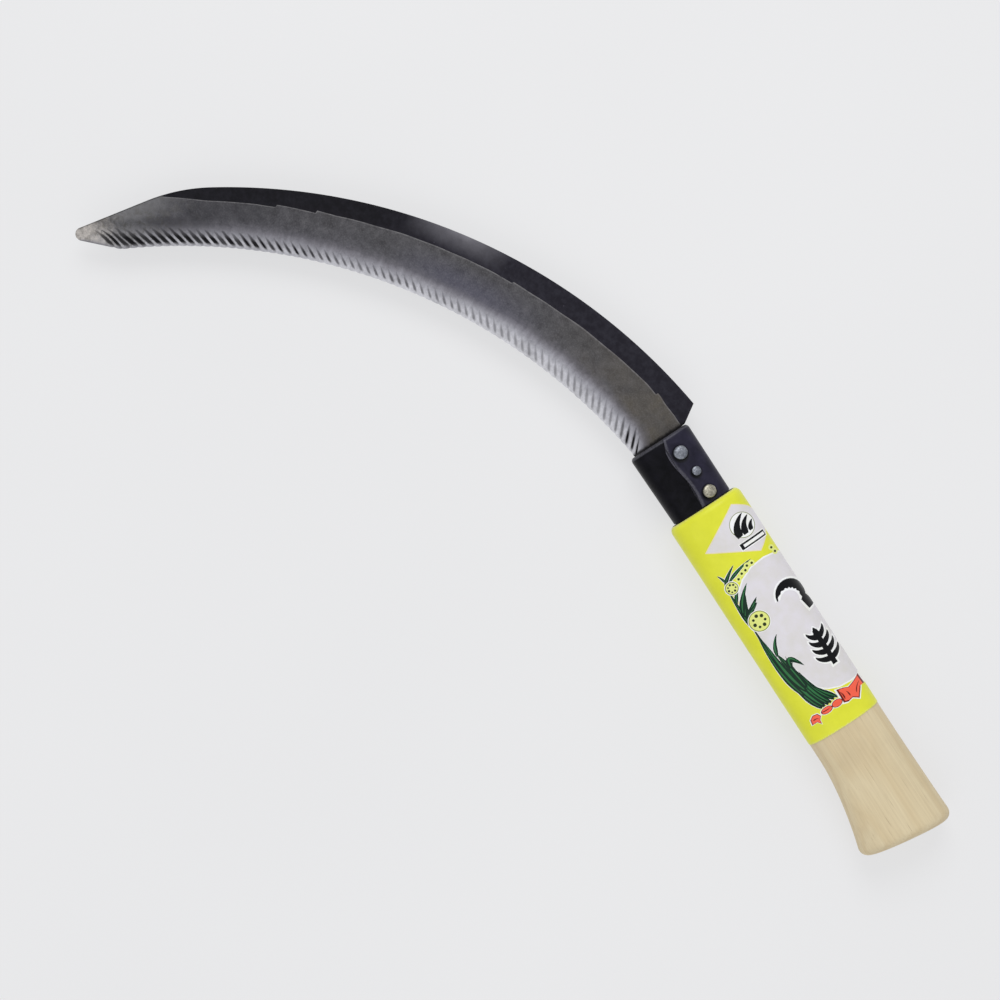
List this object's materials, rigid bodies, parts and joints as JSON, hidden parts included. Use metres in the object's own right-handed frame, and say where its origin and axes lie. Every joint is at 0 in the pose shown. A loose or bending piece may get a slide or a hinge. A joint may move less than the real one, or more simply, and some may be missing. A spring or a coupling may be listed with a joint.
{
  "type": "hand sickle",
  "caption": "Curved hand sickle with a saw-toothed inner edge, its tang riveted through a metal ferrule into a shaped wooden grip with a printed wrap.",
  "frame": {"origin": "centre of the butt's flat face, on the handle's axis", "axes": "+X along the handle to the blade, +Y to the cutting side, +Z out of the blade's toothed face"},
  "size_m": [0.3192, 0.1408, 0.0206],
  "materials": {
    "blade_steel": "dark scale band along the back, ground grey face, bright toothed edge",
    "handle_wood": "pale bare wood, sanded, satin",
    "ferrule_coating": "blue-black, satin, worn at its edges",
    "rivet_steel": "hammered grey",
    "label_film": "printed film, yellow ground, satin gloss"
  },
  "bodies": {
    "root": {"blade": "blade_steel", "handle": "handle_wood", "ferrule": "ferrule_coating", "rivet_front": "rivet_steel", "rivet_middle": "rivet_steel", "rivet_rear": "rivet_steel", "label": "label_film"}
  },
  "joints": []
}
